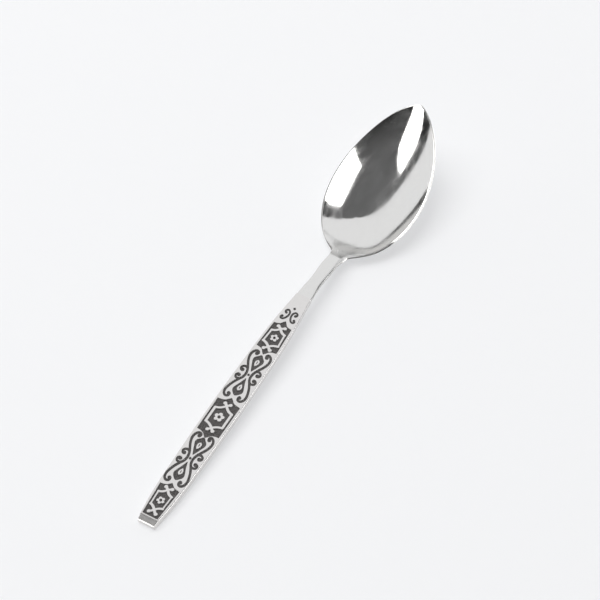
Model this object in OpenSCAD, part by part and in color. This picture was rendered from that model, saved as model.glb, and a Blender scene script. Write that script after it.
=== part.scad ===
// Teaspoon with a pointed egg-shaped bowl and a slim handle with struck scrollwork.
// Millimetres. +X runs from the handle's end to the bowl's tip, +Z is up, and the spoon lies on z = 0.
// Stations are distances along X from the handle's end.

/* [Spoon] */
// Length over all, from the handle's end to the bowl's tip
spoon_length = 155; // [145:1:165]
// Thickness of the bowl's steel at its rim
bowl_wall = 1.2; // [0.9:0.1:1.5]

/* [Bowl] */
// Length of the bowl, from its heel to its tip
bowl_length = 49.5; // [44.5:1:54.5]
// Width of the bowl over its rim
bowl_width = 30.6; // [27:0.2:34]
// Height of the rim at the bowl's tip above the table
bowl_tip_height = 22.8; // [19.8:0.5:25.8]
// Thickness of the steel in the middle of the bowl
bowl_floor_thickness = 1.6; // [1.3:0.1:1.8]
// Thickness of the steel where the neck meets the bowl's heel
heel_thickness = 2.2; // [1.8:0.1:2.6]

/* [Neck] */
// Length of the plain neck, from the ornament's end to the bowl's heel
neck_length = 19.5; // [17:0.5:22]
// Width of the neck at its narrowest
neck_width = 4.1; // [3.4:0.1:5]
// Thickness of the neck at its middle
neck_thickness = 2.6; // [2.2:0.1:3]

/* [Handle] */
// Greatest width of the handle
handle_width = 8.7; // [7.8:0.1:9.8]
// Width of the handle's square end
handle_end_width = 5.3; // [4.6:0.1:6.2]
// Width of the handle where the neck begins
handle_neck_width = 4.7; // [4.2:0.1:5.4]
// Thickness of the handle's steel
handle_thickness = 2; // [1.8:0.1:2.6]
// Height of the handle's top face at its end, before it turns down
handle_end_height = 2.35; // [2.1:0.05:2.8]
// Angle at which the handle rises from the table, in degrees
handle_rise = 3; // [2.5:0.1:3.6]
// Length of the turned-down edge at the handle's end
end_turn_length = 2; // [1.4:0.1:2.4]
// Drop of the turned-down edge at the handle's end
end_turn_drop = 0.8; // [0.5:0.1:1.1]
// Length of the flat foot under the handle's end
end_foot_length = 3; // [2:0.5:4]

/* [Ornament] */
// Depth of the recesses in the handle's top
relief_depth = 0.35; // [0.25:0.05:0.5]
// Thickness of the dark layer on the floor of the recesses
dark_thickness = 0.15; // [0.1:0.01:0.2]
// Width of the plain border between the ornament and the handle's edge
border = 0.9; // [0.8:0.05:1.1]
// Width of the scrolls' engraved lines
line_width = 0.4; // [0.34:0.02:0.5]
// Radius of the round ends of the scrolls
curl_radius = 0.42; // [0.34:0.02:0.5]
// Radius of the round dots between the scrolls
dot_radius = 0.32; // [0.26:0.02:0.4]
// Radius of the middle rosette's five petals together
rosette_radius = 1.65; // [1.4:0.05:1.8]

/* [Hidden] */
$fn = 24;

// Stations of the joins between handle, neck and bowl
neck_station = spoon_length - bowl_length - neck_length;
heel_station = spoon_length - bowl_length;
// How far the rim's outer edge stands out from its inner edge, as a share of the wall
rim_lean_share = 0.87;
rim_land = bowl_wall * rim_lean_share;
inner_tip_station = spoon_length - rim_land;
inner_bowl_length = inner_tip_station - heel_station;
// Depth by which the bowl's underside is flattened where it rests
rest_flat = 0.05;
floor_height = bowl_floor_thickness - rest_flat;
overrun = bowl_wall;

// Heights of the bowl's floor along its middle: share of the bowl's length, share of the tip's height
floor_shares = [[0, 0.153], [0.041, 0.117], [0.104, 0.061], [0.166, 0.02], [0.249, 0], [0.342, 0.008],
                [0.456, 0.06], [0.581, 0.17], [0.685, 0.3], [0.788, 0.465], [0.871, 0.63],
                [0.934, 0.785], [0.975, 0.91], [1, 1]];
// Heights of the rim, in the same shares
rim_shares = [[0, 0.153], [0.041, 0.129], [0.104, 0.117], [0.166, 0.139], [0.228, 0.178], [0.29, 0.222],
              [0.373, 0.278], [0.477, 0.351], [0.581, 0.44], [0.685, 0.541], [0.768, 0.638],
              [0.851, 0.753], [0.934, 0.877], [1, 1]];
// How the bowl's cross-section steepens towards the rim: share of the bowl's length, share of the height
// that follows a fourth power and not a parabola
steepening_shares = [[0, 0.3], [0.5, 0.2], [1, 0]];
// The egg of the rim: where it starts, its widest place, and how round it is towards heel and tip
egg_start_share = 0.025;
egg_peak_share = 0.44;
egg_heel_power = 0.58;
egg_tip_power = 0.66;

// Top of the neck along its middle: share of the neck's length, share of the way down to the heel
neck_drop_shares = [[0.25, -0.04], [0.51, 0.07], [0.74, 0.28], [0.86, 0.5], [0.93, 0.72]];
// Width of the neck: share of the neck's length, share of the narrowest width
neck_width_shares = [[0.16, 1.08], [0.33, 1], [0.54, 1.04], [0.7, 1.09], [0.88, 1.06], [1, 1.25]];
// Thickness of the neck: share of the neck's length, share of the greatest thickness
neck_thickness_shares = [[0.25, 0.93], [0.5, 1], [0.75, 0.98]];
// Share of the bowl's length over which the steel thins from the heel to the bowl
thinning_share = 0.22;
// Share of that length over which it thins at the rim
rim_thinning_share = 0.4;
// Share of the bowl's length from which the middle thins on to the rim at the tip
tip_thinning_share = 0.5;

// Width of the handle from its end: share of its length, share of the way to the greatest width
end_flare_shares = [[0, 0], [0.09, 0.54], [0.23, 0.82], [0.46, 1]];
// and on towards the neck: share of its length, share of the greatest width above the neck's
neck_taper_shares = [[0.69, 0.86], [0.83, 0.67], [0.93, 0.33], [1, 0]];

// Rosette panels, as shares of the handle's length: station of the rosette, the ends of the dark field
// before and after it, and how far the field's middle runs on to a point at each end
end_panel_shares = [0.092, -0.067, 0.057, 0, 0.0155];
middle_panel_shares = [0.452, -0.072, 0.0618, 0.019, 0.0224];
upper_panel_shares = [0.807, -0.0495, 0.0522, 0, 0.0196];
end_panel = end_panel_shares * neck_station;
middle_panel = middle_panel_shares * neck_station;
upper_panel = upper_panel_shares * neck_station;
// Half of the field's pointed end: share of the point's length, share of the field's half-width
panel_point_shares = [[0.3, 0.4], [1, 0.14]];
// Scroll panels, as shares of the handle's length: station of the dot in the middle, half-length
lower_scroll_shares = [0.272, 0.101];
upper_scroll_shares = [0.639, 0.097];
lower_scroll = lower_scroll_shares * neck_station;
upper_scroll = upper_scroll_shares * neck_station;
// Top scrolls: station of their middle, then the half-length, and the station of the last dot
top_scroll_shares = [0.9025, 0.0205];
top_dot_station_share = 0.94;
top_scroll = top_scroll_shares * neck_station;

// One side of a scroll panel's long S line: share of the half-length, share of the field's half-width
s_line_shares = [[0.86, 0.42], [0.95, 0.56], [0.955, 0.7], [0.89, 0.9], [0.68, 0.97], [0.47, 0.79],
                 [0.29, 0.5], [0.13, 0.29], [0, 0.25], [-0.14, 0.35], [-0.23, 0.47], [-0.42, 0.68],
                 [-0.63, 0.87], [-0.84, 0.93], [-1, 0.72], [-1.02, 0.42], [-0.94, 0.3]];
s_curl_shares = [[0.83, 0.63], [-0.92, 0.52], [0.12, 0.76], [-0.12, 0.76]];
// Half outlines of the two dark drops in a scroll panel and of the leaf raised in each
near_drop_shares = [[0.15, 0], [0.29, 0.16], [0.42, 0.35], [0.57, 0.52], [0.69, 0.45], [0.8, 0.13]];
near_leaf_shares = [[0.39, 0], [0.48, 0.12], [0.58, 0.15], [0.66, 0]];
far_drop_shares = [[-0.13, 0], [-0.27, 0.12], [-0.47, 0.28], [-0.7, 0.42], [-0.81, 0.32], [-0.89, 0.12]];
far_leaf_shares = [[-0.39, 0], [-0.51, 0.15], [-0.62, 0.18], [-0.71, 0]];
// One side of the top scroll's C line, and its two curls
c_line_shares = [[0.55, 0.95], [0.95, 0.8], [1.02, 0.5], [0.7, 0.22], [0.05, 0.18], [-0.6, 0.27],
                 [-0.98, 0.6], [-0.7, 0.97]];
c_curl_shares = [[0.4, 0.7], [-0.4, 0.78]];
// The six-sided frame round a rosette: its corners and its points, as shares of the panel's half-length
// and of the field's half-width
frame_corner_share = 0.54;
frame_point_share = 0.81;
frame_inner_corner_share = 0.38;
frame_inner_point_share = 0.63;
frame_edge_share = 0.95;
frame_inner_edge_share = 0.64;
// Shares of the rosette's radius: place and size of a petal, and the hole in the middle
petal_place_share = 0.57;
petal_size_share = 0.44;
rosette_hole_share = 0.2;
petals = 5;
// Shares of the panel's half-length and half-width where the frame's end lobes sit
lobe_place_share = 0.87;
lobe_side_share = 0.3;

// How finely the surfaces are stepped
bowl_steps = 46;
neck_steps = 16;
across_steps = 22;
edge_steps = 40;
panel_steps = 4;
line_steps = 3;
turn_steps = 6;
// How much the bowl's rows crowd towards its tip, and its columns towards the rim
tip_crowding_share = 0.7;
rim_crowding_share = 0.5;
// Share of a length over which slopes are taken
slope_share = 0.001;

// A smooth curve through rows of [place, value]
function row_before(rows, x, i = 0) =
    i >= len(rows) - 2 || x <= rows[i + 1][0] ? i : row_before(rows, x, i + 1);
function secant(rows, i) = (rows[i + 1][1] - rows[i][1]) / (rows[i + 1][0] - rows[i][0]);
function slope_at(rows, i) =
    i == 0 ? secant(rows, 0)
    : i == len(rows) - 1 ? secant(rows, i - 1)
    : (secant(rows, i - 1) * (rows[i + 1][0] - rows[i][0]) + secant(rows, i) * (rows[i][0] - rows[i - 1][0]))
      / (rows[i + 1][0] - rows[i - 1][0]);
function curve_at(rows, x) =
    let (i = row_before(rows, x),
         w = rows[i + 1][0] - rows[i][0],
         t = min(max((x - rows[i][0]) / w, 0), 1))
    rows[i][1] * (2 * t * t * t - 3 * t * t + 1) + slope_at(rows, i) * w * (t * t * t - 2 * t * t + t)
    + rows[i + 1][1] * (3 * t * t - 2 * t * t * t) + slope_at(rows, i + 1) * w * (t * t * t - t * t);
function ease(x, low, high) =
    let (t = min(max((x - low) / (high - low), 0), 1)) t * t * (3 - 2 * t);

// The handle, seen from above and from the side
function handle_top(s) = handle_end_height + s * tan(handle_rise);
handle_rows = [
    for (p = end_flare_shares)
        [p[0] * neck_station, (handle_end_width + (handle_width - handle_end_width) * p[1]) / 2],
    for (p = neck_taper_shares)
        [p[0] * neck_station, (handle_neck_width + (handle_width - handle_neck_width) * p[1]) / 2]];
function handle_half_width(s) = curve_at(handle_rows, s);
function field_half_width(s) = handle_half_width(min(max(s, 0), neck_station)) - border;

// The neck and the bowl, as one top surface with its thickness
function shell_height(share) = floor_height + share * (bowl_tip_height - floor_height);
heel_height = shell_height(floor_shares[0][1]);
neck_top_height = handle_top(neck_station);
neck_rows = [
    [neck_station - neck_length, handle_top(neck_station - neck_length)],
    [neck_station, neck_top_height],
    for (p = neck_drop_shares)
        [neck_station + p[0] * neck_length, neck_top_height + (heel_height - neck_top_height) * p[1]],
    [heel_station, heel_height],
    [heel_station + inner_bowl_length * floor_shares[1][0], shell_height(floor_shares[1][1])]];
neck_side_rows = [
    [neck_station, handle_neck_width / 2],
    for (p = neck_width_shares) [neck_station + p[0] * neck_length, p[1] * neck_width / 2],
    [heel_station + neck_length, neck_width / 2]];
neck_thickness_rows = [
    [neck_station, handle_top(neck_station) - handle_bottom(neck_station)],
    for (p = neck_thickness_shares) [neck_station + p[0] * neck_length, p[1] * neck_thickness],
    [heel_station, heel_thickness]];
function handle_bottom(s) = handle_top(s) - handle_thickness / cos(handle_rise);

function bowl_share(s) = (s - heel_station) / inner_bowl_length;
function floor_at(s) =
    s <= heel_station ? curve_at(neck_rows, s) : shell_height(curve_at(floor_shares, bowl_share(s)));
function rim_at(s) = s <= heel_station ? floor_at(s) : shell_height(curve_at(rim_shares, bowl_share(s)));
function egg_half_width(s) =
    let (start = heel_station + egg_start_share * inner_bowl_length,
         u = min(max((s - start) / (inner_tip_station - start), 0), 1))
    (bowl_width / 2 - rim_land) * pow(u / egg_peak_share, egg_heel_power)
    * pow((1 - u) / (1 - egg_peak_share), egg_tip_power);
function side_at(s) =
    let (bar = curve_at(neck_side_rows, s) * (1 - ease(s, heel_station, heel_station + neck_length)),
         egg = egg_half_width(s))
    pow(pow(bar, 4) + pow(egg, 4), 1 / 4);
function thickness_at(s, q) =
    s <= heel_station ? curve_at(neck_thickness_rows, s)
    : let (thinning = thinning_share * inner_bowl_length,
           at_heel = 1 - ease(s, heel_station, heel_station + thinning),
           at_tip = ease(s, heel_station + tip_thinning_share * inner_bowl_length, inner_tip_station),
           middle = bowl_floor_thickness + (heel_thickness - bowl_floor_thickness) * at_heel
                    + (bowl_wall - bowl_floor_thickness) * at_tip,
           edge = heel_thickness + (bowl_wall - heel_thickness)
                  * ease(s, heel_station, heel_station + rim_thinning_share * thinning))
      middle + (edge - middle) * q * q;

// Height across the bowl between the rim's edges, q running from -1 to 1
function across_share(s, q) =
    let (steepening = curve_at(steepening_shares, max(bowl_share(s), 0)))
    (1 - steepening) * q * q + steepening * pow(q, 4);
function top_point(s, q) =
    let (low = floor_at(s), high = rim_at(s))
    [s, q * side_at(s), low + (high - low) * across_share(s, q)];

// The under side stands off the top by the thickness, and its offset leans along X only in the bowl
function unit(v) = v / norm(v);
function top_normal(s, q) =
    let (ds = slope_share * bowl_length,
         along = top_point(min(s + ds, inner_tip_station), q) - top_point(s - ds, q),
         across = top_point(s, min(q + slope_share, 1)) - top_point(s, max(q - slope_share, -1)))
    unit(cross(across, along));
function under_point(s, q) =
    let (n = top_normal(s, q),
         lean = ease(s, heel_station + thinning_share * inner_bowl_length,
                     heel_station + egg_peak_share * inner_bowl_length),
         flat = [0, n[1], n[2]] / (n[1] * n[1] + n[2] * n[2]))
    top_point(s, q) + thickness_at(s, q) * (flat * (1 - lean) + n * lean);

function crowded(t, share) = t * (1 - share) + share * sin(90 * t);
function across_place(j) = crowded(2 * j / across_steps - 1, rim_crowding_share);
function bowl_place(i) = heel_station + inner_bowl_length * crowded(i / bowl_steps, tip_crowding_share);
function neck_place(i) = neck_station + neck_length * i / neck_steps;

// Faces of a plate between a top grid and an under grid of rows by columns
function plate_faces(rows, cols) =
    let (n = rows * cols, m = cols - 1)
    [for (i = [0 : rows - 2]) let (a = i * cols, b = a + cols) each [
        for (j = [0 : m - 1]) each [
            [a + j, a + j + 1, b + j + 1], [a + j, b + j + 1, b + j],
            [n + a + j, n + b + j + 1, n + a + j + 1], [n + a + j, n + b + j, n + b + j + 1]],
        [a + m, n + a + m, n + b + m], [a + m, n + b + m, b + m],
        [a, n + b, n + a], [a, b, n + b]]];
function cap_faces(first, n, cols, forward) =
    [for (j = [first : first + cols - 2])
        each forward ? [[j, j + 1, n + j + 1], [j, n + j + 1, n + j]]
                     : [[j, n + j + 1, j + 1], [j, n + j, n + j + 1]]];

module from_centre() translate([-spoon_length / 2, 0, 0]) children();

module bowl() {
    cols = across_steps + 1;
    rows = bowl_steps;
    n = rows * cols;
    places = [for (i = [0 : rows - 1]) bowl_place(i)];
    tip = [inner_tip_station, 0, bowl_tip_height];
    tip_angle = atan2(bowl_tip_height - floor_at(places[rows - 2]), inner_tip_station - places[rows - 2]);
    points = concat(
        [for (s = places) for (j = [0 : across_steps]) top_point(s, across_place(j))],
        [for (s = places) for (j = [0 : across_steps]) under_point(s, across_place(j))],
        [tip, tip + bowl_wall * [sin(tip_angle), 0, -cos(tip_angle)]]);
    last = n - cols;
    tip_faces = [
        for (j = [last : n - 2]) each [[j, j + 1, 2 * n], [n + j, 2 * n + 1, n + j + 1]],
        [n - 1, 2 * n - 1, 2 * n + 1], [n - 1, 2 * n + 1, 2 * n],
        [last, 2 * n + 1, n + last], [last, 2 * n, 2 * n + 1]];
    color("silver") from_centre() difference() {
        polyhedron(points, concat(plate_faces(rows, cols), cap_faces(0, n, cols, false), tip_faces));
        translate([heel_station, -bowl_width / 2, -overrun])
            cube([bowl_length, bowl_width, overrun]);
    }
}

module neck() {
    cols = across_steps + 1;
    rows = neck_steps + 1;
    n = rows * cols;
    places = [for (i = [0 : neck_steps]) neck_place(i)];
    points = concat(
        [for (s = places) for (j = [0 : across_steps]) top_point(s, across_place(j))],
        [for (s = places) for (j = [0 : across_steps]) under_point(s, across_place(j))]);
    color("silver") from_centre()
        polyhedron(points, concat(plate_faces(rows, cols), cap_faces(0, n, cols, false),
                                  cap_faces(n - cols, n, cols, true)));
}

module handle_plan() {
    edge = [for (i = [0 : edge_steps]) let (s = neck_station * i / edge_steps) [s, handle_half_width(s)]];
    polygon(concat(edge, reversed(mirrored(edge))));
}

module handle_side() {
    polygon(concat(
        [[0, 0], [end_foot_length, 0], [neck_station, handle_bottom(neck_station)],
         [neck_station, handle_top(neck_station)]],
        [for (i = [0 : turn_steps])
            let (t = i / turn_steps, s = end_turn_length * (1 - t))
            [s, handle_top(s) - end_turn_drop * t * t]]));
}

// The handle's top face is the plane z = 0 of what is drawn inside
module on_handle_top() translate([0, 0, handle_end_height]) rotate([0, -handle_rise, 0]) children();

module recess(depth_above) {
    on_handle_top() translate([0, 0, -relief_depth]) linear_extrude(depth_above) children();
}

module handle() {
    color("silver") from_centre() difference() {
        intersection() {
            linear_extrude(handle_top(spoon_length)) handle_plan();
            rotate([90, 0, 0]) linear_extrude(2 * handle_width, center = true) handle_side();
        }
        recess(relief_depth + overrun) {
            rosette_panel(end_panel);
            rosette_panel(middle_panel);
            rosette_panel(upper_panel);
            scroll_panel(lower_scroll);
            scroll_panel(upper_scroll);
            top_scrolls();
        }
    }
}

// A rosette panel's dark ground, with its frame and rosette left standing
module rosette_panel(panel) {
    middle = panel[0] + (panel[1] + panel[2]) / 2;
    half = (panel[2] - panel[1]) / 2;
    side = field_half_width(panel[0]);
    difference() {
        polygon(panel_outline(panel));
        difference() {
            frame_shape(middle, half, side, frame_corner_share, frame_point_share, frame_edge_share);
            frame_shape(middle, half, side, frame_inner_corner_share, frame_inner_point_share,
                        frame_inner_edge_share);
        }
        translate([panel[0], 0]) rosette(rosette_radius * min(1, side / field_half_width(middle_panel[0])));
        for (end = [-1, 1]) for (v = [-1, 1])
            translate([middle + end * lobe_place_share * half, v * lobe_side_share * side])
                circle(curl_radius);
    }
}

function panel_point(s, reach) =
    [for (p = panel_point_shares) [s + p[0] * reach, p[1] * field_half_width(s)]];
function reversed(rows) = [for (i = [len(rows) - 1 : -1 : 0]) rows[i]];
function mirrored(points) = [for (p = points) [p[0], -p[1]]];
function panel_outline(panel) =
    let (low = panel[0] + panel[1], high = panel[0] + panel[2],
         edge = [for (i = [0 : panel_steps])
                    let (s = low + (high - low) * i / panel_steps) [s, field_half_width(s)]],
         half = concat(reversed(panel_point(low, -panel[3])), edge, panel_point(high, panel[4])))
    concat(half, reversed(mirrored(half)));

module frame_shape(middle, half, side, corner_share, point_share, edge_share) {
    polygon([for (p = [[-point_share, 0], [-corner_share, edge_share], [corner_share, edge_share],
                       [point_share, 0], [corner_share, -edge_share], [-corner_share, -edge_share]])
        [middle + p[0] * half, p[1] * side]]);
}

module rosette(radius) {
    difference() {
        union() {
            for (i = [0 : petals - 1])
                rotate(360 * i / petals) translate([petal_place_share * radius, 0])
                    circle(petal_size_share * radius);
            circle(petal_place_share * radius);
        }
        circle(rosette_hole_share * radius);
    }
}

// An engraved line of even width along points, and a closed form from half an outline
function between(a, b, c, d, t) =
    b + (c - a) / 2 * t + (a - 5 / 2 * b + 2 * c - d / 2) * t * t
    + ((d - a) / 2 + 3 / 2 * (b - c)) * t * t * t;
function joined(points) =
    let (last = len(points) - 1)
    [for (i = [0 : last - 1]) for (k = [0 : line_steps - 1])
        between(points[max(i - 1, 0)], points[i], points[i + 1], points[min(i + 2, last)], k / line_steps),
     points[last]];
function line_side(points, offset) = [
    for (i = [0 : len(points) - 1])
        let (d = unit(points[min(i + 1, len(points) - 1)] - points[max(i - 1, 0)]))
        points[i] + offset * [-d[1], d[0]]];
module line(points) {
    path = joined(points);
    polygon(concat(line_side(path, line_width / 2), reversed(line_side(path, -line_width / 2))));
}
function placed(shares, middle, half) =
    [for (p = shares) let (s = middle + p[0] * half) [s, p[1] * field_half_width(s)]];
module closed_form(points) {
    off_axis = [for (p = points) if (p[1] > 0) p];
    polygon(concat(points, reversed(mirrored(off_axis))));
}

module both_sides() {
    children();
    mirror([0, 1, 0]) children();
}

module scroll_panel(panel) {
    both_sides() {
        line(placed(s_line_shares, panel[0], panel[1]));
        for (p = placed(s_curl_shares, panel[0], panel[1])) translate(p) circle(curl_radius);
    }
    difference() {
        closed_form(placed(near_drop_shares, panel[0], panel[1]));
        closed_form(placed(near_leaf_shares, panel[0], panel[1]));
    }
    difference() {
        closed_form(placed(far_drop_shares, panel[0], panel[1]));
        closed_form(placed(far_leaf_shares, panel[0], panel[1]));
    }
    translate([panel[0], 0]) circle(dot_radius);
}

module top_scrolls() {
    both_sides() {
        line(placed(c_line_shares, top_scroll[0], top_scroll[1]));
        for (p = placed(c_curl_shares, top_scroll[0], top_scroll[1])) translate(p) circle(curl_radius);
    }
    translate([top_dot_station_share * neck_station, 0]) circle(dot_radius);
}

module dark_layer() color("dimgray") from_centre() recess(dark_thickness) children();
module end_panel_black() dark_layer() rosette_panel(end_panel);
module middle_panel_black() dark_layer() rosette_panel(middle_panel);
module upper_panel_black() dark_layer() rosette_panel(upper_panel);
module lower_scroll_black() dark_layer() scroll_panel(lower_scroll);
module upper_scroll_black() dark_layer() scroll_panel(upper_scroll);
module top_scroll_black() dark_layer() top_scrolls();

bowl();
neck();
handle();
end_panel_black();
lower_scroll_black();
middle_panel_black();
upper_scroll_black();
upper_panel_black();
top_scroll_black();
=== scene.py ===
# %% [markdown]
# # A teaspoon with struck scrollwork
# The real spoon is one strip of steel. It is stamped to an outline, rolled thin at the bowl, pressed between
# two dies that bend it and strike the ornament, and polished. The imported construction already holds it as
# bowl, neck, handle and the dark layer in the recesses. This lesson dresses those pieces with smooth,
# closely stepped skins, because a mirror finish shows every flat facet of a coarse mesh.

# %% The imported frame
import math

import bpy
import numpy as np
from mathutils import Matrix, Vector


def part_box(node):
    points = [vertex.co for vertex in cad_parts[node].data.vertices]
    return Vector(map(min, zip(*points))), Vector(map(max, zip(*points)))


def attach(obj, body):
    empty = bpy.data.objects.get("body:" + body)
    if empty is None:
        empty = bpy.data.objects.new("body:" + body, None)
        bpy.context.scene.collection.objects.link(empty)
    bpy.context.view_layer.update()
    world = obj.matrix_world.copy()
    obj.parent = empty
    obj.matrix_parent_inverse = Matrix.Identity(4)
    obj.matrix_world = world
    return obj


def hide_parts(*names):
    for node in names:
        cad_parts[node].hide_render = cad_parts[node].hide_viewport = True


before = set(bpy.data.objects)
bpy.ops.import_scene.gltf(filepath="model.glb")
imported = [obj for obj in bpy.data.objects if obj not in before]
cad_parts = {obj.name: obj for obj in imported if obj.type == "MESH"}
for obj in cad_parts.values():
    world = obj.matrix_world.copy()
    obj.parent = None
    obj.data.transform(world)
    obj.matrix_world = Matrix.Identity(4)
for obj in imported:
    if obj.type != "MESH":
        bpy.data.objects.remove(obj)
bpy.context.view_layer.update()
MM = 0.001

# %% [markdown]
# ## The camera
# A long lens looks down at the spoon from the side, so that near and far parts keep almost the same scale.
# The camera could be placed by eye. Here it is placed by angles: how steeply it looks down, which way it
# faces and how far it rolls, because these can be compared with the photograph one at a time.

# %% Camera
FOCAL_LENGTH, SENSOR_WIDTH = 180.0, 36.0
NEAR_CLIP, FAR_CLIP = 0.01, 50.0
view_target = Vector((7.80, 0.93, 5.0)) * MM
view_distance = 864.17 * MM
view_down = math.radians(52.905)
view_heading = math.radians(59.259)
view_roll = math.radians(-0.487)

overhead = Vector((0, 0, 1))
ahead = Vector((math.sin(view_heading), math.cos(view_heading), 0))
beside = Vector((math.cos(view_heading), -math.sin(view_heading), 0))
forward = ahead * math.cos(view_down) - overhead * math.sin(view_down)
upward = ahead * math.sin(view_down) + overhead * math.cos(view_down)
right_edge = beside * math.cos(view_roll) + upward * math.sin(view_roll)
top_edge = upward * math.cos(view_roll) - beside * math.sin(view_roll)

camera_data = bpy.data.cameras.new("photo_camera")
camera_data.sensor_width = SENSOR_WIDTH
camera_data.lens = FOCAL_LENGTH
camera_data.clip_start = NEAR_CLIP
camera_data.clip_end = FAR_CLIP
camera = bpy.data.objects.new("photo_camera", camera_data)
turn = Matrix((right_edge, top_edge, -forward)).transposed().to_4x4()
camera.matrix_world = Matrix.Translation(view_target - forward * view_distance) @ turn
bpy.context.scene.collection.objects.link(camera)
bpy.context.scene.camera = camera
print("camera at, mm:", [round(v / MM, 1) for v in camera.location])

# %% [markdown]
# ## Sizes
# Stations are millimetres from the handle's end towards the bowl's tip. The joins between the pieces are
# read from the construction's boxes, so the skins meet where the solids meet. The other sizes are those that
# a die maker would set: thicknesses, widths and a few heights.

# %% Stations and sizes
half_length = -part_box("handle")[0].x / MM
spoon_length = 2 * half_length
neck_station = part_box("handle")[1].x / MM + half_length
heel_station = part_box("neck")[1].x / MM + half_length
neck_length = heel_station - neck_station
tip_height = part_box("bowl")[1].z / MM

bowl_width = 30.6
bowl_wall = 1.2
bowl_floor_thickness = 1.6
heel_thickness = 2.2
neck_width = 4.1
neck_thickness = 2.6
handle_width = 8.7
handle_end_width = 5.3
handle_neck_width = 4.7
handle_thickness = 2.0
handle_end_height = 2.35
handle_rise = math.radians(3)
end_turn_length = 2.0
end_turn_drop = 0.8
end_foot_length = 3.0

rim_lean_share = 0.87
rest_flat = 0.05
rim_land = bowl_wall * rim_lean_share
inner_tip = spoon_length - rim_land
inner_length = inner_tip - heel_station
floor_height = bowl_floor_thickness - rest_flat
print("neck begins at", round(neck_station, 3), "heel at", round(heel_station, 3), "tip at", spoon_length)

# %% [markdown]
# ## Smooth curves
# A polished bar shows a kink wherever its curvature jumps, even if its slope doesn't. A spline whose second
# derivative is continuous avoids that. It could be drawn as a Blender curve, but a short function gives
# heights at any station, and the meshes below ask for thousands of them.

# %% Spline through rows
def smooth_curve(rows):
    """A natural cubic spline through rows of (place, value), as a function."""
    x, y = np.array(rows, float).T
    step = np.diff(x)
    slope = np.diff(y) / step
    system = np.eye(len(x))
    bend = np.zeros(len(x))
    for i in range(1, len(x) - 1):
        system[i, i - 1:i + 2] = step[i - 1], 2 * (step[i - 1] + step[i]), step[i]
        bend[i] = 6 * (slope[i] - slope[i - 1])
    bend = np.linalg.solve(system, bend)

    def value(at):
        at = np.clip(np.asarray(at, float), x[0], x[-1])
        i = np.clip(np.searchsorted(x, at) - 1, 0, len(x) - 2)
        a, b, h = x[i + 1] - at, at - x[i], step[i]
        return ((bend[i] * a ** 3 + bend[i + 1] * b ** 3) / (6 * h)
                + (y[i] / h - bend[i] * h / 6) * a + (y[i + 1] / h - bend[i + 1] * h / 6) * b)
    return value


def ease(x, low, high):
    """0 before low, 1 after high, with a soft start and a soft end."""
    t = np.clip((np.asarray(x, float) - low) / (high - low), 0, 1)
    return t ** 3 * (10 - 15 * t + 6 * t * t)


test_curve = smooth_curve([(0, 0), (1, 1), (2, 0)])
print("a spline through 0, 1, 0 is", round(float(test_curve(0.5)), 3), "halfway up")

# %% [markdown]
# ## The handle's lines
# Seen from above, the handle flares from its square end and narrows to the neck. Seen from the side, its top
# is straight and its flat back rises from a small foot at the end. It could be traced point by point. The
# rows are shares of the handle's length and width instead, which is how the construction holds them too.

# %% Handle lines
end_flare_shares = [(0, 0), (0.09, 0.54), (0.23, 0.82), (0.46, 1)]
neck_taper_shares = [(0.69, 0.86), (0.83, 0.67), (0.93, 0.33), (1, 0)]
handle_half_width = smooth_curve(
    [(a * neck_station, (handle_end_width + (handle_width - handle_end_width) * b) / 2)
     for a, b in end_flare_shares]
    + [(a * neck_station, (handle_neck_width + (handle_width - handle_neck_width) * b) / 2)
       for a, b in neck_taper_shares])


def handle_top(s):
    return handle_end_height + s * math.tan(handle_rise)


def handle_bottom(s):
    join = handle_top(neck_station) - handle_thickness / math.cos(handle_rise)
    return np.maximum(s - end_foot_length, 0) / (neck_station - end_foot_length) * join


print("handle is", round(2 * float(handle_half_width(neck_station / 2)), 2), "mm wide in its middle")

# %% [markdown]
# ## The bowl's lines
# Two lines draw the bowl from the side: its floor along the middle, and its rim, which climbs to the tip.
# A third says how much of the cross-section's height follows a steeper curve than a parabola. Each row
# starts with a share of the bowl's length. The lines go on with a share of the tip's height over the floor.

# %% Bowl lines
floor_shares = [(0, 0.153), (0.041, 0.117), (0.104, 0.061), (0.166, 0.02), (0.249, 0), (0.342, 0.008),
                (0.456, 0.06), (0.581, 0.17), (0.685, 0.3), (0.788, 0.465), (0.871, 0.63),
                (0.934, 0.785), (0.975, 0.91), (1, 1)]
rim_shares = [(0, 0.153), (0.041, 0.129), (0.104, 0.117), (0.166, 0.139), (0.228, 0.178), (0.29, 0.222),
              (0.373, 0.278), (0.477, 0.351), (0.581, 0.44), (0.685, 0.541), (0.768, 0.638),
              (0.851, 0.753), (0.934, 0.877), (1, 1)]
steepening_shares = [(0, 0.3), (0.5, 0.2), (1, 0)]
floor_line = smooth_curve(floor_shares)
rim_line = smooth_curve(rim_shares)
steepening_line = smooth_curve(steepening_shares)


def shell_height(share):
    return floor_height + share * (tip_height - floor_height)


print("rim stands", round(float(shell_height(rim_line(0.5)) - shell_height(floor_line(0.5))), 1),
      "mm over the floor in the bowl's middle")

# %% [markdown]
# ## The neck's lines
# The neck is the waist of the spoon: narrow, thicker than the handle, and bent down into the bowl. Drawn on
# its own it would meet its neighbours at an angle. So its curves begin with a few points of the handle, its
# top line ends with a few of the bowl's floor, and the spline carries the bend across both joins.

# %% Neck lines
neck_width_shares = [(0.16, 1.08), (0.33, 1), (0.54, 1.04), (0.7, 1.09), (0.88, 1.06), (1, 1.25)]
neck_drop_shares = [(0.25, -0.04), (0.51, 0.07), (0.74, 0.28), (0.86, 0.5), (0.93, 0.72)]
neck_thickness_shares = [(0.25, 0.93), (0.5, 1), (0.75, 0.98)]
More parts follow.
